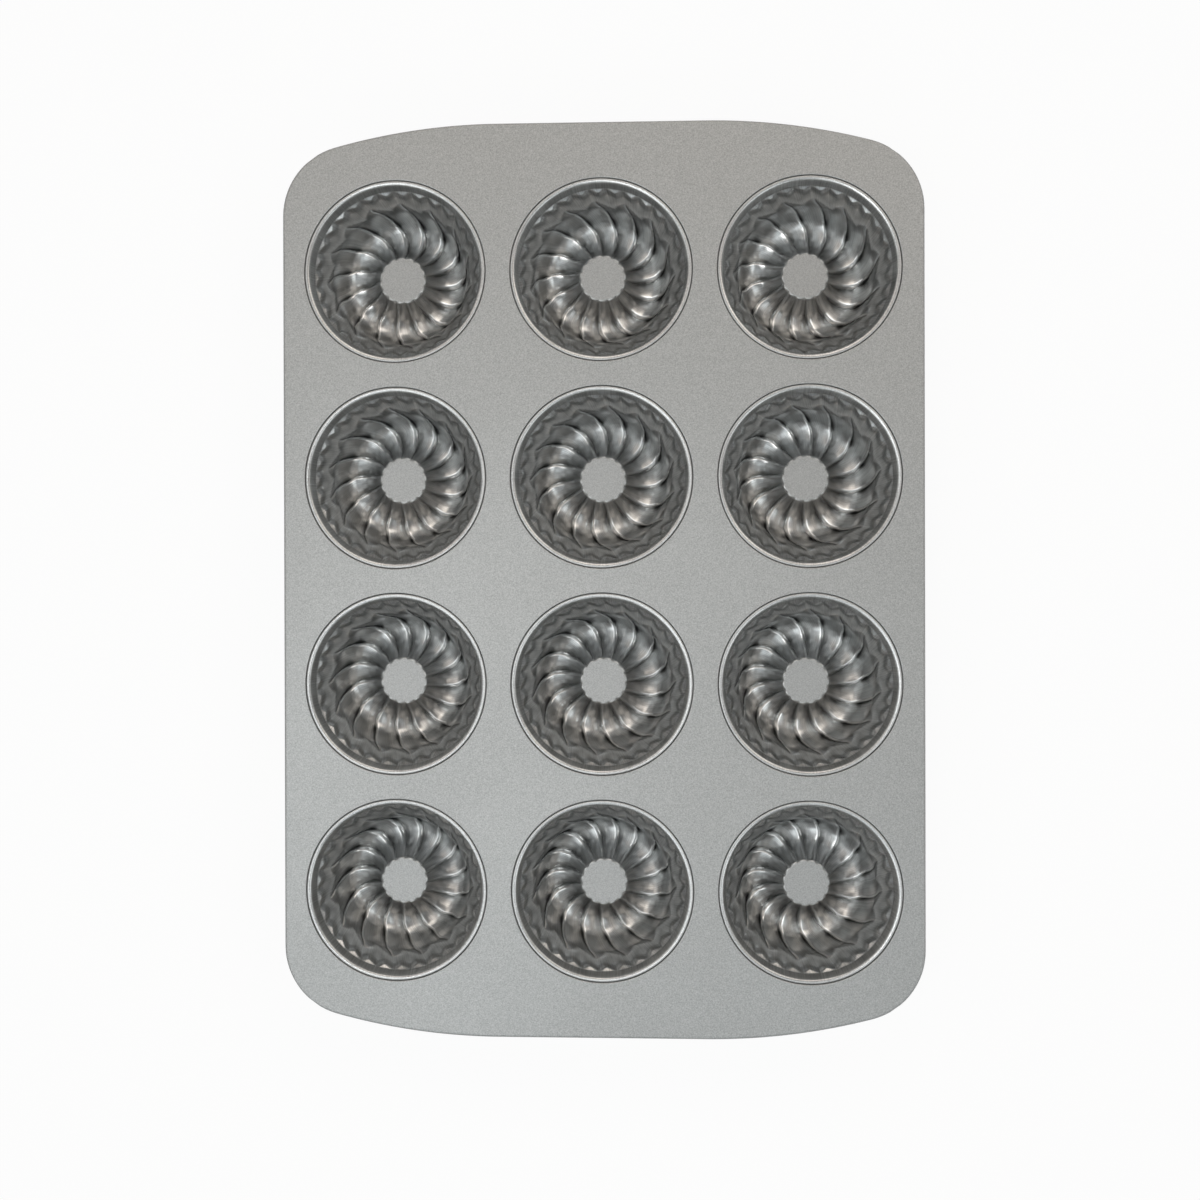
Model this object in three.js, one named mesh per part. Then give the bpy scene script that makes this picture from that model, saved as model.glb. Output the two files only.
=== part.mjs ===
// Mini fluted tube pan: one flat top sheet with twelve separately drawn fluted cups locked into it.
// Millimetres, +Z up. The origin is under the middle of the pan, on the plane the cups stand on.
// +Y runs along the long side. Row 1 is at +Y and column 1 at -X.
import * as THREE from 'three';

// Sheet metal and the seat of one cup
const PAN_HEIGHT = 37;
const TRAY_SHEET = 0.8;
const CUP_SHEET = 0.7;
const CLEARANCE = 0.3;
const HOLE_RADIUS = 40;

// Grid of cups, with the flat sheet left between the holes and round the grid
const CUP_ROWS = 4;
const CUP_COLUMNS = 3;
const CUP_GAP = 10.5;
const SIDE_MARGIN = 9.5;
const END_MARGIN = 24.25;
const CUP_PITCH = 2 * HOLE_RADIUS + CUP_GAP;
const PAN_WIDTH = (CUP_COLUMNS - 1) * CUP_PITCH + 2 * (HOLE_RADIUS + SIDE_MARGIN);
const PAN_LENGTH = (CUP_ROWS - 1) * CUP_PITCH + 2 * (HOLE_RADIUS + END_MARGIN);
// Turn of each cup about its own axis, in degrees; the cups were set into the sheet at chance turns
const CUP_TURNS = [
  [-6.6, -0.1, -11.3],
  [-20.3, -10.0, -17.6],
  [-10.1, -22.5, -6.8],
  [-0.8, 0.2, -2.0],
];

// Outline of the top sheet: straight sides, round corners and gently bowed ends with a flat middle
const CORNER_RADIUS = 31;
const END_RADIUS = 0.99 * PAN_WIDTH;
const END_FLAT_HALF = CUP_PITCH / 2;
const CORNER_STEPS = 6;
const END_STEPS = 4;

// Hem: the sheet's edge is folded under all round and stops short of the nearest holes
const HEM_GAP = 0.4;
const HEM_STANDOFF = 4;
const HEM_RETURN = SIDE_MARGIN - HEM_STANDOFF;
const HEM_RADIUS = TRAY_SHEET + HEM_GAP / 2;

// Lock seam: a tapered collar turned down from the sheet, hooked by the folded lip of the cup
const COLLAR_DEPTH = 3;
const COLLAR_TAPER = 0.5;
const LIP_DROP = 0.3;
const LIP_WIDTH = 2.3;
const HOOK_REACH = 2;
const MOUTH_RADIUS = HOLE_RADIUS - LIP_WIDTH;

// Flutes
const FLUTES = 15;
const PITCH_ANGLE = 2 * Math.PI / FLUTES;
const TROUGH_SHARE = 0.7;
const COLUMNS = 2 * FLUTES;
const FLOOR_DEPTH = PAN_HEIGHT - CUP_SHEET;
const TUBE_TOP_DEPTH = 0.65 * FLOOR_DEPTH;

// Inner face of the cup from the tube top outwards, at the ridge and at the trough of a flute:
// [ridge radius, ridge depth, trough radius, trough depth, turn of the swirl in degrees].
// Radii are shares of the mouth radius, depths shares of the depth of the floor below the sheet.
const BOWL_SHARES = [
  [0.268, 0.650, 0.255, 0.650, -21.5],
  [0.324, 0.744, 0.302, 0.760, -21.5],
  [0.398, 0.832, 0.387, 0.915, -21.2],
  [0.491, 0.868, 0.491, 1.000, -20.6],
  [0.650, 0.832, 0.637, 1.000, -16.2],
  [0.721, 0.755, 0.721, 0.882, -11.5],
  [0.772, 0.612, 0.782, 0.650, -6.2],
  [0.841, 0.474, 0.841, 0.474, -0.3],
];
const BOWL = BOWL_SHARES.map(([ridge, ridgeDepth, trough, troughDepth, swirl]) => [
  ridge * MOUTH_RADIUS,
  ridgeDepth * FLOOR_DEPTH,
  trough * MOUTH_RADIUS,
  troughDepth * FLOOR_DEPTH,
  swirl,
]);

const traySteel = new THREE.MeshStandardMaterial({ color: 0x9c9c9a, roughness: 0.45, metalness: 0.85 });
const cupSteel = new THREE.MeshStandardMaterial({ color: 0x8a8a88, roughness: 0.32, metalness: 0.9 });

// Skin of triangles over numbered points
class Skin {
  constructor() {
    this.points = [];
    this.faces = [];
  }

  ring(list) {
    const first = this.points.length / 3;
    for (const p of list) {
      this.points.push(p[0], p[1], p[2]);
    }
    return list.map((p, i) => first + i);
  }

  band(a, b) {
    const n = a.length;
    for (let i = 0; i < n; i += 1) {
      const k = (i + 1) % n;
      this.faces.push(a[i], b[i], b[k]);
      this.faces.push(a[i], b[k], a[k]);
    }
  }

  cap(ringOfPoints, pole, outward) {
    const n = ringOfPoints.length;
    for (let i = 0; i < n; i += 1) {
      const k = (i + 1) % n;
      if (outward) {
        this.faces.push(pole, ringOfPoints[i], ringOfPoints[k]);
      } else {
        this.faces.push(ringOfPoints[i], pole, ringOfPoints[k]);
      }
    }
  }

  mesh(name, material) {
    const geometry = new THREE.BufferGeometry();
    geometry.setAttribute('position', new THREE.Float32BufferAttribute(this.points, 3));
    geometry.setIndex(this.faces);
    geometry.computeVertexNormals();
    const mesh = new THREE.Mesh(geometry, material);
    mesh.name = name;
    return mesh;
  }
}

// Outline of the sheet, moved inwards by an inset; every arc keeps its centre, so the inset is even
function outline(inset) {
  const halfW = PAN_WIDTH / 2;
  const halfL = PAN_LENGTH / 2;
  const endCentreY = halfL - END_RADIUS;
  const cornerX = halfW - CORNER_RADIUS;
  const reach = END_RADIUS - CORNER_RADIUS;
  const sideways = cornerX - END_FLAT_HALF;
  const cornerY = endCentreY + Math.sqrt(reach * reach - sideways * sideways);
  const bend = Math.asin(sideways / reach);
  const quarter = [];
  for (let i = 0; i <= CORNER_STEPS; i += 1) {
    const a = (Math.PI / 2 - bend) * i / CORNER_STEPS;
    const r = CORNER_RADIUS - inset;
    quarter.push([cornerX + r * Math.cos(a), cornerY + r * Math.sin(a)]);
  }
  for (let i = 1; i <= END_STEPS; i += 1) {
    const a = Math.PI / 2 - bend * (1 - i / END_STEPS);
    const r = END_RADIUS - inset;
    quarter.push([END_FLAT_HALF + r * Math.cos(a), endCentreY + r * Math.sin(a)]);
  }
  const back = quarter.slice().reverse();
  return [
    ...quarter,
    ...back.map((p) => [-p[0], p[1]]),
    ...quarter.map((p) => [-p[0], -p[1]]),
    ...back.map((p) => [p[0], -p[1]]),
  ];
}

function outlineRing(inset, depth) {
  return outline(inset).map((p) => [p[0], p[1], PAN_HEIGHT - depth]);
}

// Plain ring of a cup or its seat; its columns follow the turn of the cup so seat and lip face each other
function roundRing(cup, radius, depth) {
  const list = [];
  for (let i = 0; i < COLUMNS; i += 1) {
    const a = cup.turn + PITCH_ANGLE * i / 2;
    list.push([cup.x + radius * Math.cos(a), cup.y + radius * Math.sin(a), PAN_HEIGHT - depth]);
  }
  return list;
}

// Ring across the flutes: ridges and troughs by turns, the trough lying close to the next ridge
function flutedRing(cup, ridge, trough, swirl) {
  const list = [];
  for (let i = 0; i < FLUTES; i += 1) {
    const a = cup.turn + swirl + PITCH_ANGLE * i;
    const b = a + PITCH_ANGLE * TROUGH_SHARE;
    list.push([cup.x + ridge[0] * Math.cos(a), cup.y + ridge[0] * Math.sin(a), PAN_HEIGHT - ridge[1]]);
    list.push([cup.x + trough[0] * Math.cos(b), cup.y + trough[0] * Math.sin(b), PAN_HEIGHT - trough[1]]);
  }
  return list;
}

// Line of [radius, depth] points moved away from the inside of the cup by the sheet thickness
function outerLine(line) {
  const normals = [];
  for (let i = 0; i + 1 < line.length; i += 1) {
    const dr = line[i + 1][0] - line[i][0];
    const dd = line[i + 1][1] - line[i][1];
    const length = Math.hypot(dr, dd);
    normals.push([-dd / length, dr / length]);
  }
  return line.map((p, i) => {
    const before = normals[Math.max(i - 1, 0)];
    const after = normals[Math.min(i, normals.length - 1)];
    const scale = CUP_SHEET / (1 + before[0] * after[0] + before[1] * after[1]);
    return [p[0] + (before[0] + after[0]) * scale, p[1] + (before[1] + after[1]) * scale];
  });
}

function collarRadius(depth) {
  return HOLE_RADIUS - COLLAR_TAPER * depth / COLLAR_DEPTH;
}

// Top sheet: flat, hemmed round its edge, with a collar turned down at each hole
function traySheet(cups) {
  const skin = new Skin();
  const inside = HEM_RADIUS + HEM_GAP / 2;
  const foldDepth = 2 * HEM_RADIUS;
  const bevel = HEM_RADIUS * (1 - Math.SQRT1_2);
  const edge = [
    skin.ring(outlineRing(HEM_RADIUS, 0)),
    skin.ring(outlineRing(bevel, bevel)),
    skin.ring(outlineRing(0, HEM_RADIUS)),
    skin.ring(outlineRing(bevel, foldDepth - bevel)),
    skin.ring(outlineRing(HEM_RADIUS, foldDepth)),
    skin.ring(outlineRing(HEM_RETURN, foldDepth)),
    skin.ring(outlineRing(HEM_RETURN, foldDepth - TRAY_SHEET)),
    skin.ring(outlineRing(inside, foldDepth - TRAY_SHEET)),
    skin.ring(outlineRing(inside, TRAY_SHEET)),
  ];
  for (let i = 0; i + 1 < edge.length; i += 1) {
    skin.band(edge[i], edge[i + 1]);
  }
  const upper = [];
  const lower = [];
  for (const cup of cups) {
    const endRadius = collarRadius(COLLAR_DEPTH);
    const collar = [
      skin.ring(roundRing(cup, HOLE_RADIUS + TRAY_SHEET, TRAY_SHEET)),
      skin.ring(roundRing(cup, endRadius + TRAY_SHEET, COLLAR_DEPTH)),
      skin.ring(roundRing(cup, endRadius, COLLAR_DEPTH)),
      skin.ring(roundRing(cup, HOLE_RADIUS, 0)),
    ];
    for (let i = 0; i + 1 < collar.length; i += 1) {
      skin.band(collar[i], collar[i + 1]);
    }
    lower.push(collar[0]);
    upper.push(collar[3]);
  }
  flatFace(skin, edge[0], upper, true);
  flatFace(skin, edge[edge.length - 1], lower, false);
  return skin.mesh('tray_sheet', traySteel);
}

function flatFace(skin, contour, holes, upward) {
  const flat = (ids) => ids.map((i) => new THREE.Vector2(skin.points[3 * i], skin.points[3 * i + 1]));
  const ids = [...contour, ...holes.flatMap((h) => h.slice().reverse())];
  const inner = holes.map((h) => flat(h.slice().reverse()));
  for (const [a, b, c] of THREE.ShapeUtils.triangulateShape(flat(contour), inner)) {
    if (upward) {
      skin.faces.push(ids[a], ids[b], ids[c]);
    } else {
      skin.faces.push(ids[a], ids[c], ids[b]);
    }
  }
}

// Cup: one drawn skin from the closed tube top, down the tube, across the floor, up the wall and over the lip
function flutedCup(cup) {
  const skin = new Skin();
  const ridge = BOWL.map((b) => [b[0], b[1]]);
  const trough = BOWL.map((b) => [b[2], b[3]]);
  const swirl = BOWL.map((b) => THREE.MathUtils.degToRad(b[4]));
  const outerRidge = outerLine(ridge);
  const outerTrough = outerLine(trough);
  outerRidge[0][1] = TUBE_TOP_DEPTH + CUP_SHEET;
  outerTrough[0][1] = TUBE_TOP_DEPTH + CUP_SHEET;
  const hookTop = COLLAR_DEPTH + CLEARANCE;
  const hookBottom = hookTop + CUP_SHEET;
  const lipRadius = collarRadius(LIP_DROP) - CLEARANCE;
  const legRadius = collarRadius(hookTop) - CLEARANCE;
  const wallRadius = MOUTH_RADIUS + CUP_SHEET / 2;
  const rings = [];
  BOWL.forEach((b, i) => rings.push(skin.ring(flutedRing(cup, ridge[i], trough[i], swirl[i]))));
  rings.push(skin.ring(roundRing(cup, MOUTH_RADIUS, 2.4)));
  rings.push(skin.ring(roundRing(cup, MOUTH_RADIUS + 0.5, 0.8)));
  rings.push(skin.ring(roundRing(cup, lipRadius, LIP_DROP)));
  rings.push(skin.ring(roundRing(cup, legRadius, hookTop)));
  rings.push(skin.ring(roundRing(cup, legRadius + HOOK_REACH, hookTop)));
  rings.push(skin.ring(roundRing(cup, legRadius + HOOK_REACH, hookBottom)));
  rings.push(skin.ring(roundRing(cup, wallRadius, hookBottom)));
  for (let i = BOWL.length - 1; i >= 0; i -= 1) {
    rings.push(skin.ring(flutedRing(cup, outerRidge[i], outerTrough[i], swirl[i])));
  }
  for (let i = 0; i + 1 < rings.length; i += 1) {
    skin.band(rings[i], rings[i + 1]);
  }
  const [above] = skin.ring([[cup.x, cup.y, PAN_HEIGHT - TUBE_TOP_DEPTH]]);
  const [below] = skin.ring([[cup.x, cup.y, PAN_HEIGHT - TUBE_TOP_DEPTH - CUP_SHEET]]);
  skin.cap(rings[0], above, true);
  skin.cap(rings[rings.length - 1], below, false);
  return skin.mesh(cup.name, cupSteel);
}

const cups = [];
for (let row = 0; row < CUP_ROWS; row += 1) {
  for (let column = 0; column < CUP_COLUMNS; column += 1) {
    cups.push({
      name: `cup_row${row + 1}_col${column + 1}`,
      x: (column - (CUP_COLUMNS - 1) / 2) * CUP_PITCH,
      y: ((CUP_ROWS - 1) / 2 - row) * CUP_PITCH,
      turn: THREE.MathUtils.degToRad(CUP_TURNS[row][column]),
    });
  }
}

const pan = new THREE.Group();
pan.name = 'mini_fluted_tube_pan';
pan.add(traySheet(cups));
for (const cup of cups) {
  pan.add(flutedCup(cup));
}

export default pan;
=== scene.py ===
import math
from functools import reduce

import bpy
import numpy as np
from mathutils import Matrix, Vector


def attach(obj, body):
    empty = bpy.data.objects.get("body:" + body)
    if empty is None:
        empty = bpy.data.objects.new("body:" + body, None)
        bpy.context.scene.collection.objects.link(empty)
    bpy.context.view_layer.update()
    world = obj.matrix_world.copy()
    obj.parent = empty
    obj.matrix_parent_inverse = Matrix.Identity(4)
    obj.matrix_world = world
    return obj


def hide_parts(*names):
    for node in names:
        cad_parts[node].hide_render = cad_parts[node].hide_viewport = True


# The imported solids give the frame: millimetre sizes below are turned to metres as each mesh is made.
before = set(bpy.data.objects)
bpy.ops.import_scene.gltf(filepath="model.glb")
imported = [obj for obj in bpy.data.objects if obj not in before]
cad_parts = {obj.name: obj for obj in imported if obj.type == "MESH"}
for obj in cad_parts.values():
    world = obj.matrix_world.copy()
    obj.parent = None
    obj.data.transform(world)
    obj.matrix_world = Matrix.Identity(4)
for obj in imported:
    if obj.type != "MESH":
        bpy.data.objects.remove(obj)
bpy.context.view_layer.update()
scene = bpy.context.scene


# Top sheet
# One flat sheet of coated steel, 0.8 mm thick, cut to straight sides, round corners and bowed ends.
# Its edge is folded under in a tight hem, and at each of the twelve holes a collar is turned down
# through a small bend to take the lip of a cup.
MM_PER_METRE = 1000
SHEET_TOP = 37.0
SHEET = 0.8
HALF_WIDTH = 140.0
HALF_LENGTH = 200.0
CORNER_RADIUS = 31.0
END_RADIUS = 277.2  # of the bow at both ends
END_FLAT = 45.25  # half of the straight run between the bows
ROWS, COLUMNS = 4, 3
CELL = 45.25  # half of the pitch of the cups
CELL_STEPS = 40  # points along each side of the square round a hole
WELD_DIGITS = 5  # decimals to which points that meet agree
FOLD_ANGLE = math.radians(50)  # edges bent more than this stay sharp
# The hem as (inset from the outline, depth below the top), from the top round the fold to the underside
HEM = [(1.9, 0), (1.25, 0), (1.0, 0), (0.62, 0.08), (0.3, 0.3), (0.08, 0.62), (0, 1.0), (0.08, 1.38),
       (0.3, 1.7), (0.62, 1.92), (1.0, 2.0), (1.25, 2.0), (5.3, 2.0), (5.5, 1.95), (5.5, 1.25),
       (5.3, 1.2), (1.2, 1.2), (1.2, 0.8)]
# A collar as (radius about the hole, depth below the top), from the underside round its foot to the top
COLLAR = [(41.7, 0.8), (41.1, 0.86), (40.86, 1.1), (40.34, 2.9), (40.2, 3.0), (39.6, 3.0), (39.52, 2.9),
          (39.96, 0.34), (40.0, 0.2), (40.09, 0.07), (40.26, 0.0), (40.5, 0.0), (41.6, 0.0)]

corner_x = HALF_WIDTH - CORNER_RADIUS
end_centre_y = HALF_LENGTH - END_RADIUS
end_reach = END_RADIUS - CORNER_RADIUS
corner_y = end_centre_y + math.sqrt(end_reach ** 2 - (corner_x - END_FLAT) ** 2)
corner_bend = math.asin((corner_x - END_FLAT) / end_reach)
block_corner = COLUMNS * CELL - corner_x


def pull_in(points):
    """Points of the grid of cells, those past the round corners drawn back on to an arc about the corner's
    centre, and which of them were drawn back."""
    away = np.abs(points) - (corner_x, corner_y)
    reach = np.hypot(away[:, 0], away[:, 1])
    past = (away > 0).all(1) & (reach > block_corner)
    shrink = (block_corner / np.maximum(reach, 1e-9))[:, None]
    drawn = np.sign(points) * ((corner_x, corner_y) + away * shrink)
    return np.where(past[:, None], drawn, points), past


def walk_round(half_x, half_y, steps_x, steps_y):
    """Even points clockwise round a rectangle: down the right side, along the bottom, up the left and along
    the top."""
    down = np.linspace(half_y, -half_y, steps_y, endpoint=False)
    left = np.linspace(half_x, -half_x, steps_x, endpoint=False)
    return np.concatenate([
        np.stack([np.full(steps_y, half_x), down], 1),
        np.stack([left, np.full(steps_x, -half_y)], 1),
        np.stack([np.full(steps_y, -half_x), -down], 1),
        np.stack([-left, np.full(steps_x, half_y)], 1),
    ])


def sheet_edge(inset):
    """The outline moved in by an inset, one point for each point of the grid's border: sideways off the
    long sides, along the radius at the corners, lengthways at the ends, where a flat, a bow and the
    corner's arc follow on."""
    x, y = np.abs(rim).T
    side = (y <= corner_y) & (x > corner_x) & ~past_corner
    bow_radius, turn_radius = END_RADIUS - inset, CORNER_RADIUS - inset
    bow_end = END_FLAT + bow_radius * math.sin(corner_bend)
    flat = np.full(len(rim), HALF_LENGTH - inset)
    bow = end_centre_y + np.sqrt(np.maximum(bow_radius ** 2 - (x - END_FLAT) ** 2, 0))
    turn = corner_y + np.sqrt(np.maximum(turn_radius ** 2 - (x - corner_x) ** 2, 0))
    end_y = np.select([x <= END_FLAT, x <= bow_end], [flat, bow], turn)
    spoke = turn_radius / block_corner
    side_x = np.full(len(rim), HALF_WIDTH - inset)
    edge_x = np.select([side, past_corner], [side_x, corner_x + (x - corner_x) * spoke], x)
    edge_y = np.select([side, past_corner], [y, corner_y + (y - corner_y) * spoke], end_y)
    return np.sign(rim) * np.stack([edge_x, edge_y], 1)


def at_depth(points, depth):
    """Flat points set at a depth below the top of the sheet."""
    return np.concatenate([points, np.full((len(points), 1), SHEET_TOP - depth)], 1)


def strip(count, around, first):
    """Quads between rings of points that are numbered from the first and run clockwise, each ring lying
    outside the one before as seen from its face."""
    i = first + np.arange(count - 1)[:, None] * around
    j = np.arange(around)[None, :]
    k = (j + 1) % around
    return np.stack([i + j, i + k, i + around + k, i + around + j], 2).reshape(-1, 4)


def new_look(name, points, faces):
    """An object at the origin with a smooth mesh, its points given in millimetres."""
    mesh = bpy.data.meshes.new(name + "_look")
    mesh.from_pydata((points / MM_PER_METRE).tolist(), [], faces)
    mesh.shade_smooth()
    look = bpy.data.objects.new(name + "_look", mesh)
    scene.collection.objects.link(look)
    return look


border = walk_round(COLUMNS * CELL, ROWS * CELL, COLUMNS * CELL_STEPS, ROWS * CELL_STEPS)
rim, past_corner = pull_in(border)
rings = [at_depth(rim, 0)]
rings += [at_depth(sheet_edge(inset), depth) for inset, depth in HEM]
rings += [at_depth(rim, SHEET)]
sheet_points = [np.concatenate(rings)]
sheet_faces = [strip(len(rings), len(border), 0)]

cell = walk_round(CELL, CELL, CELL_STEPS, CELL_STEPS)
cell_way = cell / np.hypot(cell[:, 0], cell[:, 1])[:, None]
cup_places = [((column - (COLUMNS - 1) / 2) * 2 * CELL, ((ROWS - 1) / 2 - row) * 2 * CELL)
              for row in range(ROWS) for column in range(COLUMNS)]
for place in cup_places:
    square = pull_in(cell + place)[0]
    rings = [at_depth(square, SHEET)]
    rings += [at_depth(cell_way * radius + place, depth) for radius, depth in COLLAR]
    rings += [at_depth(square, 0)]
    sheet_faces.append(strip(len(rings), len(cell), sum(len(points) for points in sheet_points)))
    sheet_points.append(np.concatenate(rings))

rounded = np.round(np.concatenate(sheet_points), WELD_DIGITS)
welded, shared = np.unique(rounded, axis=0, return_inverse=True)
sheet_look = new_look("tray_sheet", welded, shared.reshape(-1)[np.concatenate(sheet_faces)].tolist())
sheet_look.data.set_sharp_from_angle(angle=FOLD_ANGLE)

# Grain of the baked coat, shared by sheet and cups: fine flecks and a slow cloudiness under them
FLECK_SCALE, CLOUD_SCALE = 1900.0, 9.0
FLECK_HEIGHT = 0.0001
coat_grain = bpy.data.node_groups.new("coat_grain", "ShaderNodeTree")
coat_grain.interface.new_socket("Fleck", in_out="OUTPUT", socket_type="NodeSocketFloat")
coat_grain.interface.new_socket("Cloud", in_out="OUTPUT", socket_type="NodeSocketFloat")
grain_out = coat_grain.nodes.new("NodeGroupOutput")
grain_place = coat_grain.nodes.new("ShaderNodeTexCoord")
fleck = coat_grain.nodes.new("ShaderNodeTexNoise")
fleck.inputs["Scale"].default_value = FLECK_SCALE
fleck.inputs["Detail"].default_value = 2.0
fleck.inputs["Roughness"].default_value = 0.6
cloud = coat_grain.nodes.new("ShaderNodeTexNoise")
cloud.inputs["Scale"].default_value = CLOUD_SCALE
cloud.inputs["Detail"].default_value = 3.0
for noise, label in ((fleck, "Fleck"), (cloud, "Cloud")):
    coat_grain.links.new(grain_place.outputs["Object"], noise.inputs["Vector"])
    coat_grain.links.new(noise.outputs["Fac"], grain_out.inputs[label])


def ranged(tree, source, low, high, start=0.3, end=0.7):
    """A value between low and high as the source goes from start to end."""
    node = tree.nodes.new("ShaderNodeMapRange")
    node.inputs["From Min"].default_value = start
    node.inputs["From Max"].default_value = end
    node.inputs["To Min"].default_value = low
    node.inputs["To Max"].default_value = high
    tree.links.new(source, node.inputs["Value"])
    return node.outputs["Result"]


def mixed(tree, share, first, second):
    """A colour a share of the way from the first to the second, each written out or coming from a node."""
    node = tree.nodes.new("ShaderNodeMix")
    node.data_type = "RGBA"
    tree.links.new(share, node.inputs["Factor"])
    for label, colour in (("A", first), ("B", second)):
        if isinstance(colour, tuple):
            node.inputs[label].default_value = (*colour, 1)
        else:
            tree.links.new(colour, node.inputs[label])
    return node.outputs["Result"]


def coated(name, dark, light, fleck_bump):
    """A coated metal: the material, its shader, its grain, and a colour that goes from dark to light with
    the flecks, which also stand up as a fine bump."""
    material = bpy.data.materials.new(name)
    material.use_nodes = True
    tree = material.node_tree
    shader = tree.nodes["Principled BSDF"]
    shader.inputs["Metallic"].default_value = 1.0
    grain = tree.nodes.new("ShaderNodeGroup")
    grain.node_tree = coat_grain
    bump = tree.nodes.new("ShaderNodeBump")
    bump.inputs["Strength"].default_value = fleck_bump
    bump.inputs["Distance"].default_value = FLECK_HEIGHT
    tree.links.new(grain.outputs["Fleck"], bump.inputs["Height"])
    tree.links.new(bump.outputs["Normal"], shader.inputs["Normal"])
    return material, shader, grain, mixed(tree, ranged(tree, grain.outputs["Fleck"], 0, 1), dark, light)


sheet_coat, shader, grain, fleck_colour = coated(
    "satin_coat_on_sheet", dark=(0.375, 0.38, 0.377), light=(0.575, 0.58, 0.575), fleck_bump=0.12)
tree = sheet_coat.node_tree
tree.links.new(fleck_colour, shader.inputs["Base Color"])
tree.links.new(ranged(tree, grain.outputs["Cloud"], low=0.55, high=0.60), shader.inputs["Roughness"])
sheet_look.data.materials.append(sheet_coat)
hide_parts("tray_sheet")
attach(sheet_look, "root")


# Fluted cups
# Twelve cups, each drawn from one disc of coated steel 0.7 mm thick: a closed tube in the middle, a floor
# and wall of fifteen swirled flutes, a ledge of thirty small scallops below a smooth neck, and a rolled lip.
# The lip lies in the hole of the sheet, its leg runs down inside the sheet's collar and hooks out under it.
FLUTES = 15
FLUTE = 360.0 / FLUTES
CUP_SHEET = 0.7
CUP_TURNS = [6.6, 0.1, 11.3, 20.3, 10.0, 17.6, 10.1, 22.5, 6.8, 0.8, -0.2, 2.0]  # degrees, row by row
FLUTES_REACH = 36.0  # radius past which no flute is looked for
LEDGE_IN, LEDGE_OUT = 33.5, 36.6  # radii of the ledge's hollows and of its meeting with the neck
SCALLOP = 1.6  # how far a point of the scallops stands off its hollows at the ledge
LOW_SCALLOP = 0.02  # and further down the wall
SCALLOPS_FADE = (8.5, 12.0)  # depths between which they go from the one to the other
HOLLOW_ROUNDING, HOLLOW_LEVEL = 0.006, 0.04  # of the wave that the scallops follow
LEDGE_ROUNDING, FLUTE_ROUNDING = 0.12, 0.10
LEDGE_SLACK = 0.1  # what lies no deeper than this below the lip's line is still ledge
BACK_SLOPE, FACE_SLOPE = 0.12, 0.4  # straight part of a flute's steep back and of its gentle face
EVEN_FROM, EVEN_TO = 32.3, 33.6  # radii over which the columns spread out evenly
PETAL_EDGE, PETAL_POINT = 30.0, 2.5  # radius of a petal's edge at its middle, and what its corners add
PETAL_MIDDLE = 0.57  # share of a flute from the crest to that middle
CREST_WIDTH = 0.35  # of the painted highlight along a crest
LIP_SATIN = 0.9  # share of the satin coat that the lip keeps
OUTSIDE_WORKED, OUTSIDE_PAINTED_SHADE = 0.5, 0.4  # how worked the outer face is, and how far painted shade darkens it
CREASE_FROM, CREASE_TO = 13.0, 30.0  # radii between which a trough is a sharp crease
OUTSIDE_UP_TO = 37.05  # radius to which the outer face follows the inner one
TUBE_TOP_RINGS = 17  # the rings over the tube's top, all kept on the outer face
OFF_FLOOR = 0.02  # least height of the outer face
FLOW_UNIT = 40.0  # radius that counts as 1 along the draw


def fair(*points):
    """Smooth curve through (x, y) points that never overshoots them: a cubic in each span, its end slopes
    the weighted harmonic means of the chords on both sides, and straight on past the ends."""
    x, y = np.array(sorted(points), float).T
    h = np.diff(x)
    s = np.diff(y) / h
    w1, w2 = 2 * h[1:] + h[:-1], h[1:] + 2 * h[:-1]
    same = s[:-1] * s[1:] > 0
    before, after = np.where(same, s[:-1], 1), np.where(same, s[1:], 1)
    inner = np.where(same, (w1 + w2) / (w1 / before + w2 / after), 0)
    m = np.concatenate([s[:1], inner, s[-1:]])

    def value(q):
        i = np.clip(np.searchsorted(x, q) - 1, 0, len(x) - 2)
        t = (q - x[i]) / h[i]
        body = ((1 + 2 * t) * (1 - t) ** 2 * y[i] + t * (1 - t) ** 2 * h[i] * m[i]
                + t * t * (3 - 2 * t) * y[i + 1] + t * t * (t - 1) * h[i] * m[i + 1])
        past_end = np.where(q > x[-1], y[-1] + (q - x[-1]) * m[-1], body)
        return np.where(q < x[0], y[0] + (q - x[0]) * m[0], past_end)

    return value


def ease(a, b, x):
    """0 before a, 1 after b, an even S between them."""
    t = np.clip((x - a) / (b - a), 0, 1)
    return t * t * (3 - 2 * t)


def band(x, rise, fall):
    """1 within a band and 0 outside: an even S up over the rise, and one down over the fall."""
    return ease(*rise, x) * (1 - ease(*fall, x))


def lower_of(a, b, soft):
    """The lesser of two values, with the corner where they cross rounded over a width."""
    h = np.clip(0.5 + 0.5 * (b - a) / soft, 0, 1)
    return b * (1 - h) + a * h - soft * h * (1 - h)


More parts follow.
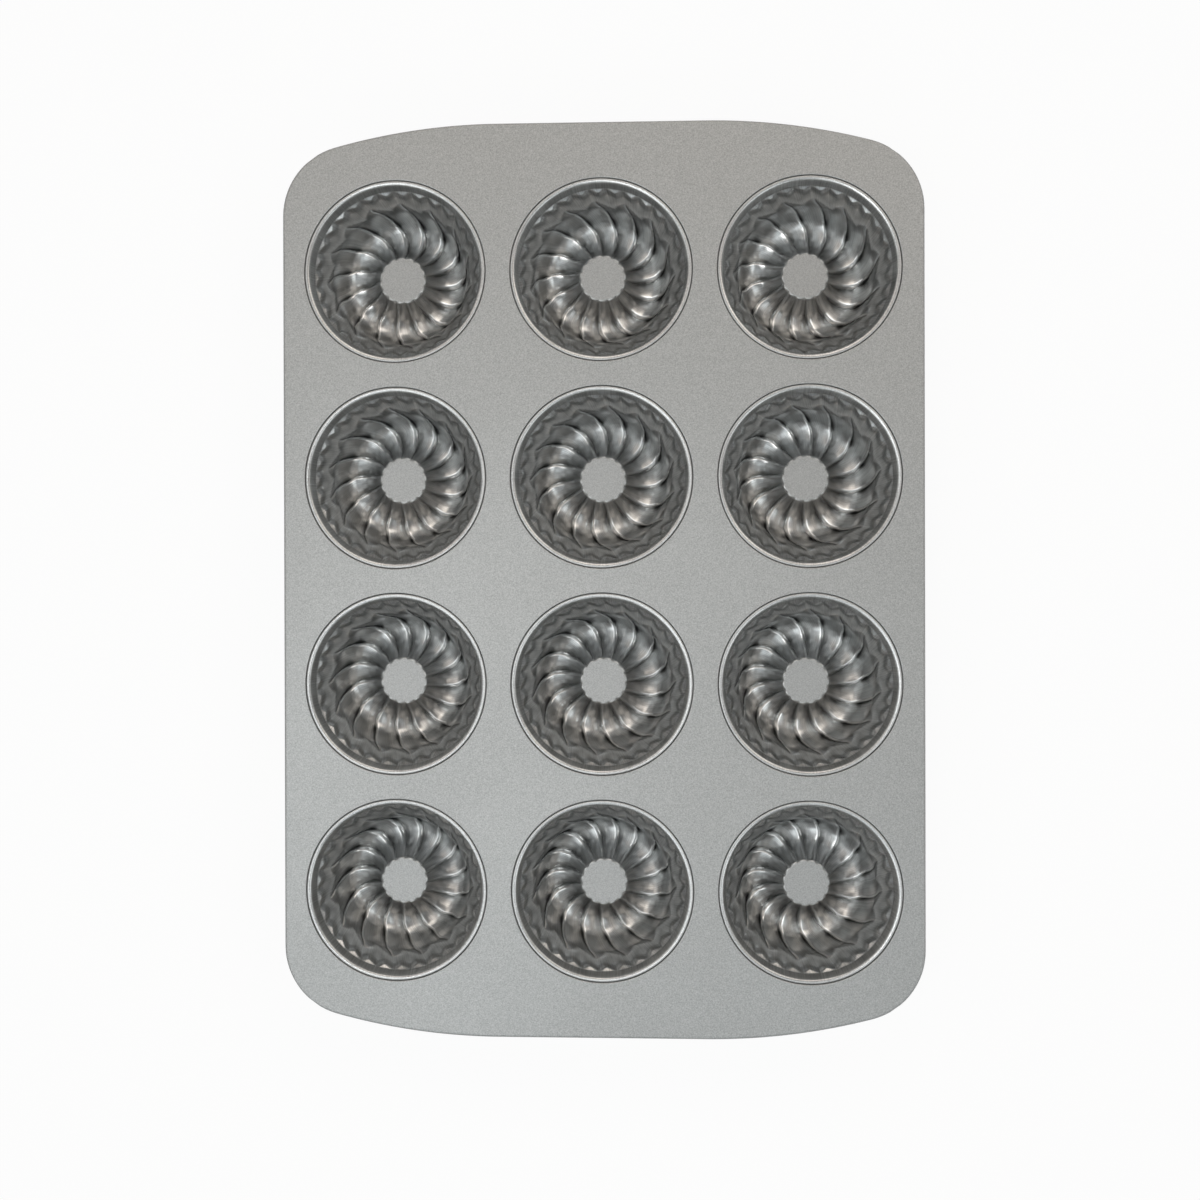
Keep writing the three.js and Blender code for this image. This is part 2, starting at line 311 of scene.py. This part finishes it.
# Depth below the sheet's top against radius, along the crest and along the trough of a flute
crest_depth = fair(
    (36, 10.4), (33, 13.0), (32.4, 13.6), (31.7, 14.2), (30.6, 15.7), (29.8, 17.8), (29.1, 20.8),
    (28.5, 24.2), (27.9, 26.9), (27.3, 28.6), (26.6, 30.2), (25.8, 31.1), (24.6, 31.8), (22.5, 32.3),
    (20.5, 32.4), (18.5, 32.3), (17, 31.8), (15.5, 30.9), (14, 29.5), (12.7, 27.7), (11.6, 25.8),
    (10.8, 24.4), (10.35, 23.85), (9.9, 23.7), (9.4, 23.7))
trough_depth = fair(
    (36, 14.5), (33, 16.6), (31.7, 17.8), (30.6, 19.6), (30.0, 21.0), (29.3, 23.8), (28.6, 28.0),
    (27.8, 31.8), (26.8, 34.3), (25.2, 35.9), (23, 36.4), (21, 36.3), (19, 35.8), (17, 34.7),
    (15.2, 33.0), (13.4, 30.6), (12.0, 28.2), (10.9, 25.8), (10.2, 24.5), (9.8, 23.9), (9.4, 23.7),
    (9.0, 23.7))
# Against radius, the turn of a flute about the cup's axis in degrees clockwise, and the share of a flute
# that its steep back takes
swirl = fair(
    (40, -3), (36.5, -3), (35, -2.2), (33, -0.6), (31.6, 0.3), (29.7, 5), (28.4, 9), (27, 11.8),
    (25.3, 15), (23, 18.4), (19.6, 20.4), (15, 21.2), (9, 21.5))
back_share = fair(
    (33, 0.06), (32.2, 0.08), (31.2, 0.14), (30, 0.19), (28, 0.20), (25, 0.19), (22, 0.20), (17, 0.26),
    (12, 0.34), (9, 0.34))
# Lip, smooth neck and ledge as depth against radius, and the wall below the ledge as radius against depth
lip_depth = fair(
    (39.72, 1.2), (39.7, 0.75), (39.6, 0.45), (39.4, 0.3), (39.1, 0.25), (38.75, 0.27), (38.4, 0.36),
    (38.1, 0.5), (37.85, 0.74), (37.65, 1.3), (37.5, 2.3), (37.05, 4.6), (36.78, 6.0), (36.55, 6.7),
    (36.2, 7.0), (34.7, 8.05), (33, 9.3))
wall_radius = fair(
    (5, 35.3), (8.0, 34.7), (10.0, 34.4), (11.5, 33.9), (13, 33.0), (15.5, 31.4), (18.2, 30.1),
    (22.5, 29.7), (27.5, 29.0), (36, 28.2))
# Leg and hook past the lip as (radius, depth), down inside the sheet's collar, out under it and back
FOLD = np.array([(39.62, 1.8), (39.2, 3.15), (39.3, 3.3), (41.0, 3.3), (41.15, 3.4), (41.15, 3.9),
                 (41.0, 4.0), (38.3, 4.0), (37.95, 4.15)])

# Columns of one flute: five down the steep back from the crest, fifteen up the face to the next crest
BACK = np.array([0, 0.28, 0.54, 0.76, 0.92])
FACE = np.array([0, 0.055, 0.13, 0.215, 0.31, 0.405, 0.5, 0.595, 0.69, 0.775, 0.85, 0.91, 0.95, 0.978,
                 0.993])
PER_FLUTE = len(BACK) + len(FACE)
AROUND = FLUTES * PER_FLUTE
# Rings of the inner face: tube top, its edge, floor, wall, ledge, neck and lip
cup_radii = np.concatenate([
    [4.0, 8.0, 9.0, 9.3], np.linspace(9.45, 11, 13), np.linspace(11.3, 25.6, 40),
    np.linspace(25.9, 32.4, 40), np.linspace(32.55, 36.6, 34), np.linspace(36.68, 38.3, 14),
    np.linspace(38.45, 39.72, 11)])


def flute_phase(radius):
    """Place of each column within its flute, from crest to crest: bunched at the crest among the flutes,
    even in the scallops above."""
    back = back_share(radius)
    petals = np.concatenate([BACK * back, back + FACE * (1 - back)], 1)
    even = np.arange(PER_FLUTE)[None, :] / PER_FLUTE
    return petals + (even - petals) * ease(EVEN_FROM, EVEN_TO, radius)


def scallop(phase):
    """Wave of the scallops, two to a flute: from about 1 at a point straight down to about 0 in a hollow
    and back, the hollow rounded by what is added under the root."""
    return np.sqrt((1 - 2 * ((2 * phase) % 1)) ** 2 + HOLLOW_ROUNDING) - HOLLOW_LEVEL


def ledge_edge(phase):
    """Radius of the ledge's scalloped inner edge: that of its hollows, and out from there with the wave."""
    return LEDGE_IN + SCALLOP * scallop(phase)


def wall_depth(radius, wave):
    """Depth at which the wall comes to a radius, found by halving a span of depths until it is far finer
    than the sheet: the wall's own radius with the scallops' wave added, high at the ledge and faded out a
    little below it."""
    low, high = np.full(wave.shape, 2.0), np.full(wave.shape, 40.0)
    for _ in range(32):
        middle = 0.5 * (low + high)
        height = SCALLOP * (1 - ease(*SCALLOPS_FADE, middle)) + LOW_SCALLOP
        wider = wall_radius(middle) + height * wave > radius
        low, high = np.where(wider, middle, low), np.where(wider, high, middle)
    return middle


def face_depth(radius, phase):
    """Depth of the inner face: the deeper of the lip's line and the scalloped wall, and over it the flutes
    where they stand proud. A flute lies between crest and trough by a saw: a slope and a quarter round down
    the steep back, then a slope and a square up the face, which is steep at the trough and flatter towards
    the next crest."""
    back = back_share(radius)
    down = np.clip(phase / back, 0, 1)
    up = 1 - np.clip((phase - back) / (1 - back), 0, 1)
    steep_back = BACK_SLOPE * down + (1 - BACK_SLOPE) * (1 - np.sqrt(1 - down ** 2))
    gentle_face = FACE_SLOPE * up + (1 - FACE_SLOPE) * up ** 2
    saw = np.where(phase < back, steep_back, gentle_face)
    crest = crest_depth(radius)
    flutes = crest + np.maximum(trough_depth(radius) - crest, 0) * saw
    above_all, below_all = -5, 60
    wall = np.where(radius > LEDGE_OUT, above_all, wall_depth(radius, scallop(phase)))
    upper = -lower_of(-lip_depth(radius), -wall, LEDGE_ROUNDING)
    return lower_of(upper, np.where(radius > FLUTES_REACH, below_all, flutes), FLUTE_ROUNDING)


def petal_edge(phase):
    """Radius at which a petal, the inner face of one flute, ends: least at its middle, and straight out
    from there to its corners on the crests."""
    after = (phase - PETAL_MIDDLE) / (1 - PETAL_MIDDLE)
    before = (PETAL_MIDDLE - phase) / PETAL_MIDDLE
    return PETAL_EDGE + PETAL_POINT * np.where(phase > PETAL_MIDDLE, after, before)


def painted_shade_share(radius, phase, depth):
    """Share of painted shade, from 0 to 1: at each point the strongest of the shades listed, each a strength
    times its place. It paints shade behind crests, at and past the petal ends, round the tube's foot and
    under the ledge; the tube's top is made evenly darker."""
    back = back_share(radius)
    edge = petal_edge(phase)
    ledge = ledge_edge(phase)
    on_ledge = depth <= lip_depth(radius) + LEDGE_SLACK
    steep_back = band(phase, (0.4 * back, 0.8 * back), (back, back + 0.10))
    mostly_in_wall = 0.04 + 0.9 * ease(24.5, 27.5, radius)
    riser = ease(ledge - 0.5, ledge + 0.2, radius) * ~on_ledge * (radius < LEDGE_OUT)
    paler_outwards = 1 - 0.75 * ease(ledge + 0.2, ledge + 1.5, radius)
    shades = [
        # painted shade on the steep back of a crest
        (1.00, steep_back * mostly_in_wall * band(radius, (11, 13), (32.2, 32.9))),
        # painted shade at the end of a petal, and on the wall beyond it
        (0.55, band(radius, (edge - 2.6, edge), (edge, edge + 0.3))),
        (0.24, ease(edge + 0.6, edge + 2.2, radius) * (radius < 34.5)),
        # painted shade on the tube from its foot up, and its top made evenly darker
        (0.62, band(radius, (10.2, 10.8), (14.5, 23))),
        (0.25, radius < 9.8),
        # painted shade on the riser under the ledge, and on the ledge with the neck
        (0.46, riser * paler_outwards),
        (0.06, (1 - ease(37.5, 37.8, radius)) * (radius > 34) * on_ledge),
    ]
    return reduce(np.maximum, [strength * place for strength, place in shades])


def painted_highlight_share(radius, phase):
    """Share of painted highlight, from 0 to 1: at each point the strongest of the highlights listed, each a
    strength times its place. A crest's line fades to both sides as a bell curve."""
    edge = petal_edge(phase)
    ledge = ledge_edge(phase)
    off_crest = np.minimum(phase, 1 - phase) * 2 * np.pi * radius / FLUTES
    crest_line = np.exp(-(off_crest / CREST_WIDTH) ** 2)
    scallop_points = ease(0.15, 0.9, scallop(phase))
    painted_highlights = [
        # painted highlight on crest and trough where they run over the floor
        (1.00, crest_line * band(radius, (16, 21), (25.5, 28.5))),
        (0.30, band(radius, (18.5, 21.5), (25, 27)) * (1 - ease(0.35, 0.8, phase))),
        # painted highlight on the shoulder of a petal, and on the wall just past its end
        (0.42, band(radius, (25, 27), (29, 31)) * ease(0.45, 0.95, phase)),
        (0.26, band(radius, (edge + 0.2, edge + 0.5), (edge + 1.0, edge + 3.0)) * (radius < 34)),
        # painted highlight on the wall under the points of the scallops
        (0.32, scallop_points * band(radius, (31.0, 33.4), (ledge - 0.6, ledge - 0.1))),
        # painted highlight on the inner edge of the lip, and on the whole lip
        (0.30, band(radius, (37.4, 37.7), (38.2, 38.8))),
        (0.14, ease(37.5, 38.0, radius)),
    ]
    return reduce(np.maximum, [strength * place for strength, place in painted_highlights])


def blur(grid):
    """Mean of each point with its neighbours, weights 1 2 1 along both ways of the grid."""
    grid = (np.roll(grid, 1, 1) + 2 * grid + np.roll(grid, -1, 1)) / 4
    ends = np.concatenate([grid[:1], grid, grid[-1:]])
    return (ends[:-2] + 2 * ends[1:-1] + ends[2:]) / 4


def unit(vectors):
    """Vectors brought to length 1."""
    return vectors / np.linalg.norm(vectors, axis=2, keepdims=True)


# What all cups share: the inner face ring by ring, and the rings of it that the outer face follows inwards
ring_radius = cup_radii[:, None]
ring_phase = flute_phase(ring_radius)
one_flute = face_depth(ring_radius, ring_phase)
inner_depth = np.tile(one_flute, (1, FLUTES))
# shares of painted shade and, on the next line, of painted highlight over the inner face
inner_painted_shade = np.tile(painted_shade_share(ring_radius, ring_phase, one_flute), (1, FLUTES))
inner_painted_highlight = np.tile(painted_highlight_share(ring_radius, ring_phase), (1, FLUTES))
inner_steps = (np.arange(FLUTES)[None, :, None] + ring_phase[:, None, :]).reshape(len(cup_radii), -1)
outer_rows = np.flatnonzero(cup_radii <= OUTSIDE_UP_TO)[::-1]
outer_rows = np.concatenate([outer_rows[:-TUBE_TOP_RINGS:2], outer_rows[-TUBE_TOP_RINGS:]])


def cup_rings(turn, place):
    """Rings of the whole skin from the tube's top outwards over the lip, down the leg, out and in round the
    hook, and back under the outer face, which is the inner face moved along its normals by the sheet's
    thickness."""
    angle = np.radians(turn + swirl(ring_radius) + FLUTE * inner_steps)
    inner = np.stack([ring_radius * np.cos(angle), -ring_radius * np.sin(angle),
                      SHEET_TOP - inner_depth], 2)
    normal = np.cross(np.roll(inner, -1, 1) - np.roll(inner, 1, 1), np.gradient(inner, axis=0))
    outer = (inner - CUP_SHEET * unit(blur(blur(unit(normal)))))[outer_rows]
    outer[..., 2] = np.maximum(outer[..., 2], OFF_FLOOR)
    fold_radius, fold_depth = FOLD[:, :1], np.broadcast_to(FOLD[:, 1:], (len(FOLD), AROUND))
    lip_angle = angle[-1:]
    hook = np.stack([fold_radius * np.cos(lip_angle), -fold_radius * np.sin(lip_angle),
                     SHEET_TOP - fold_depth], 2)
    return np.concatenate([inner, hook, outer]) + np.array([*place, 0])


# Faces of a cup: quads between the rings, then the tube's top closed to a middle point inside and outside
ring_count = len(cup_radii) + len(FOLD) + len(outer_rows)
inner_count = len(cup_radii) * AROUND
top_middle, under_middle = ring_count * AROUND, ring_count * AROUND + 1
step = np.arange(AROUND)
after = (step + 1) % AROUND
last = (ring_count - 1) * AROUND
cup_faces = strip(ring_count, AROUND, 0).tolist()
cup_faces += np.stack([np.full(AROUND, top_middle), after, step], 1).tolist()
cup_faces += np.stack([np.full(AROUND, under_middle), last + step, last + after], 1).tolist()


def over_skin(inner, elsewhere, middle):
    """Values for all points of a cup: the inner face's own, one for the rest, and one for the middle of the
    tube's top."""
    values = np.full((under_middle + 1, *inner.shape[2:]), elsewhere, np.float32)
    values[:inner_count] = inner.reshape(inner_count, *inner.shape[2:])
    values[top_middle] = middle
    return values


# How much the draw has worked the coat, where a point lies along the draw, and its shares of painted shade
# and highlight
whole_face = (len(cup_radii), AROUND)
inner_worked = (1 - LIP_SATIN * ease(38.3, 39.3, ring_radius)) * ease(9.6, 10.4, ring_radius)
inner_way = inner_steps * 2 * np.pi / FLUTES
inner_flow = np.stack([np.cos(inner_way), np.sin(inner_way),
                       np.broadcast_to(ring_radius / FLOW_UNIT, whole_face)], 2)
point_radius = over_skin(np.broadcast_to(ring_radius, whole_face), elsewhere=0, middle=0)
point_worked = over_skin(np.broadcast_to(inner_worked, whole_face), elsewhere=OUTSIDE_WORKED, middle=0)
point_flow = over_skin(inner_flow, elsewhere=0, middle=0)
# painted shade: even over the hook and outer face, the inner face's own share elsewhere
point_painted_shade = over_skin(inner_painted_shade, elsewhere=OUTSIDE_PAINTED_SHADE, middle=inner_painted_shade[0, 0])
point_painted_highlight = over_skin(inner_painted_highlight, elsewhere=0, middle=0)

cup_coat, shader, grain, fleck_colour = coated(
    "burnished_coat_with_painted_light_on_cups", dark=(0.425, 0.43, 0.427), light=(0.62, 0.625, 0.62), fleck_bump=0.10)
tree = cup_coat.node_tree


def carried(name):
    """Outputs of a value that the points of the mesh carry."""
    node = tree.nodes.new("ShaderNodeAttribute")
    node.attribute_name = name
    return node.outputs


def draw_lines(across, along, detail):
    """Noise drawn out into lines along the draw, so many to the unit across it and along it."""
    stretch = tree.nodes.new("ShaderNodeMapping")
    stretch.inputs["Scale"].default_value = (across, across, along)
    tree.links.new(flow, stretch.inputs["Vector"])
    lines = tree.nodes.new("ShaderNodeTexNoise")
    lines.inputs["Scale"].default_value = 1.0
    lines.inputs["Detail"].default_value = detail
    tree.links.new(stretch.outputs["Vector"], lines.inputs["Vector"])
    return lines.outputs["Fac"]


def reckoned(tree, operation, first, second):
    """Two values brought together by one step of arithmetic, the second from a node or written out."""
    node = tree.nodes.new("ShaderNodeMath")
    node.operation = operation
    tree.links.new(first, node.inputs[0])
    if isinstance(second, float):
        node.inputs[1].default_value = second
    else:
        tree.links.new(second, node.inputs[1])
    return node.outputs["Value"]


# Drawn walls show fine lines; painted shade darkens the grooves and hollows, and painted highlight lightens
# the crests, shoulders, scallop points and lip
PAINTED_SHADE_GREY, PAINTED_HIGHLIGHT_GREY = (0.16, 0.16, 0.16), (0.92, 0.92, 0.91)
LINE_DARK, LINE_LIGHT = (0.36, 0.365, 0.362), (0.69, 0.695, 0.69)
worked, flow = carried("worked")["Fac"], carried("flow")["Vector"]
fine_lines = ranged(tree, draw_lines(across=75, along=5, detail=2.0), 0, 1)
line_colour = mixed(tree, fine_lines, LINE_DARK, LINE_LIGHT)
drawn_colour = mixed(tree, ranged(tree, worked, low=0, high=0.6, start=0, end=1), fleck_colour, line_colour)
with_painted_shade = mixed(tree, carried("painted_shade")["Fac"], drawn_colour, PAINTED_SHADE_GREY)
painted_highlight = mixed(tree, carried("painted_highlight")["Fac"], with_painted_shade, PAINTED_HIGHLIGHT_GREY)
tree.links.new(painted_highlight, shader.inputs["Base Color"])
# Flats keep the satin coat, the drawn walls are burnished in broader streaks
finish = ranged(tree, worked, low=0.55, high=0.30, start=0, end=1)
streak = ranged(tree, draw_lines(across=36, along=4, detail=1.0), low=-0.015, high=0.03)
tree.links.new(reckoned(tree, "ADD", finish, streak), shader.inputs["Roughness"])

for number, (place, turn) in enumerate(zip(cup_places, CUP_TURNS)):
    name = "cup_row%d_col%d" % (number // COLUMNS + 1, number % COLUMNS + 1)
    rings = cup_rings(turn, place)
    middles = [[*place, rings[0, 0, 2]], [*place, rings[-1, 0, 2]]]
    look = new_look(name, np.concatenate([rings.reshape(-1, 3), middles]), cup_faces)
    mesh = look.data
    for label, values in (("worked", point_worked), ("painted_shade", point_painted_shade), ("painted_highlight", point_painted_highlight)):
        mesh.attributes.new(label, "FLOAT", "POINT").data.foreach_set("value", values)
    mesh.attributes.new("flow", "FLOAT_VECTOR", "POINT").data.foreach_set("vector", point_flow.ravel())
    ends = np.empty(len(mesh.edges) * 2, np.int32)
    mesh.edges.foreach_get("vertices", ends)
    ends = ends.reshape(-1, 2)
    column = ends % AROUND
    in_trough = (column[:, 0] == column[:, 1]) & (column[:, 0] % PER_FLUTE == len(BACK))
    within = (point_radius[ends].min(1) > CREASE_FROM) & (point_radius[ends].max(1) < CREASE_TO)
    crease = in_trough & within & (ends < inner_count).all(1)
    mesh.attributes.new("sharp_edge", "BOOLEAN", "EDGE").data.foreach_set("value", crease)
    mesh.materials.append(cup_coat)
    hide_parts(name)
    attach(look, "root")


# Floor and light
# A plain white floor that keeps a soft shadow, and a low wall of the same white far round it. Nine square
# soft lamps, eight in a ring and one above, light the pan in a dim grey room.
FLOOR_REACH = 15.0
WALL_FROM_PAN, WALL_HEIGHT, WALL_SIDES = 14.0, 1.8, 96
WHITE_SEEN = 0.93  # share of plain white in what the camera and reflections see of the floor
LAMPS_AIM = Vector((0, 0, 0.02))


def staged(name, points, faces):
    """A white thing that stands round the pan and is no part of it, its points given in metres."""
    mesh = bpy.data.meshes.new(name)
    mesh.from_pydata(points, [], faces)
    mesh.materials.append(white)
    thing = bpy.data.objects.new(name, mesh)
    scene.collection.objects.link(thing)
    return thing


white = bpy.data.materials.new("white_floor")
white.use_nodes = True
tree = white.node_tree
tree.nodes.clear()
output = tree.nodes.new("ShaderNodeOutputMaterial")
matt = tree.nodes.new("ShaderNodeBsdfDiffuse")
matt.inputs["Color"].default_value = (0.9, 0.9, 0.9, 1)
glow = tree.nodes.new("ShaderNodeEmission")
glow.inputs["Color"].default_value = (1, 1, 1, 1)
glow.inputs["Strength"].default_value = 1.0
path = tree.nodes.new("ShaderNodeLightPath").outputs
seen = reckoned(tree, "MAXIMUM", path["Is Camera Ray"], path["Is Glossy Ray"])
seen = reckoned(tree, "MAXIMUM", seen, path["Is Transmission Ray"])
blend = tree.nodes.new("ShaderNodeMixShader")
tree.links.new(reckoned(tree, "MULTIPLY", seen, WHITE_SEEN), blend.inputs["Fac"])
tree.links.new(matt.outputs["BSDF"], blend.inputs[1])
tree.links.new(glow.outputs["Emission"], blend.inputs[2])
tree.links.new(blend.outputs["Shader"], output.inputs["Surface"])

floor_corners = [(x * FLOOR_REACH, y * FLOOR_REACH, 0) for x, y in ((-1, -1), (1, -1), (1, 1), (-1, 1))]
floor = staged("floor", floor_corners, [(0, 1, 2, 3)])

side = np.arange(WALL_SIDES)
next_side = (side + 1) % WALL_SIDES
round_wall = side * 2 * np.pi / WALL_SIDES
foot = WALL_FROM_PAN * np.stack([np.cos(round_wall), np.sin(round_wall), 0 * round_wall], 1)
wall_points = np.concatenate([foot, foot + (0, 0, WALL_HEIGHT)])
wall_faces = np.stack([next_side, side, side + WALL_SIDES, next_side + WALL_SIDES], 1)
backdrop = staged("backdrop", wall_points.tolist(), wall_faces.tolist())

room = bpy.data.worlds.new("dim_room")
scene.world = room
room.use_nodes = True
room.node_tree.nodes["Background"].inputs["Color"].default_value = (0.05, 0.05, 0.05, 1)
room.node_tree.nodes["Background"].inputs["Strength"].default_value = 1.0


def soft_lamp(name, place, size, power, colour):
    """A square soft lamp at a place, turned to face the middle of the pan."""
    light = bpy.data.lights.new(name, "AREA")
    light.shape = "SQUARE"
    light.size = size
    light.energy = power
    light.color = colour
    lamp = bpy.data.objects.new(name, light)
    scene.collection.objects.link(lamp)
    lamp.location = place
    lamp.rotation_euler = (LAMPS_AIM - Vector(place)).to_track_quat("-Z", "Y").to_euler()


soft_lamp("lamp_back_right", (0.75, 0.70, 1.0), 0.7, 3.2, (1.0, 0.92, 0.84))
soft_lamp("lamp_front_right", (0.80, -0.60, 1.0), 0.7, 2.65, (0.94, 0.99, 1.0))
soft_lamp("lamp_front_left", (-0.70, -0.75, 1.0), 0.7, 2.83, (0.93, 0.98, 1.0))
soft_lamp("lamp_back_left", (-0.75, 0.70, 1.0), 0.7, 1.8, (1.0, 0.92, 0.85))
soft_lamp("lamp_back", (0.0, 1.0, 1.0), 0.6, 2.7, (1.0, 0.91, 0.82))
soft_lamp("lamp_front", (0.0, -1.0, 1.0), 0.6, 1.42, (0.90, 0.97, 1.0))
soft_lamp("lamp_right", (1.0, 0.0, 1.0), 0.6, 0.9, (1.0, 0.98, 0.97))
soft_lamp("lamp_left", (-1.0, 0.0, 1.0), 0.6, 1.20, (0.97, 1.0, 1.0))
soft_lamp("lamp_above", (-0.20, -0.14, 1.25), 0.45, 3.4, (0.98, 1.0, 1.0))


# Camera
# Straight down on the pan from about 0.77 m, as the picture was taken. Its focal length and the shift of
# its middle are in picture points, of which the picture has 1200 each way.
PICTURE = 1200
FOCAL, SHIFT_X, SHIFT_Y = 1680, 23.9, -25.1
lens = bpy.data.cameras.new("camera")
lens.sensor_width = 36.0
lens.lens = lens.sensor_width * FOCAL / PICTURE
lens.shift_x = SHIFT_X / PICTURE
lens.shift_y = SHIFT_Y / PICTURE
lens.clip_start = 0.01
camera = bpy.data.objects.new("camera", lens)
scene.collection.objects.link(camera)
camera.location = (0.02565, 0.00549, 0.76932)
camera.rotation_euler = (math.radians(-0.242), math.radians(2.874), math.radians(-0.146))
scene.camera = camera
scene.view_settings.view_transform = "Standard"
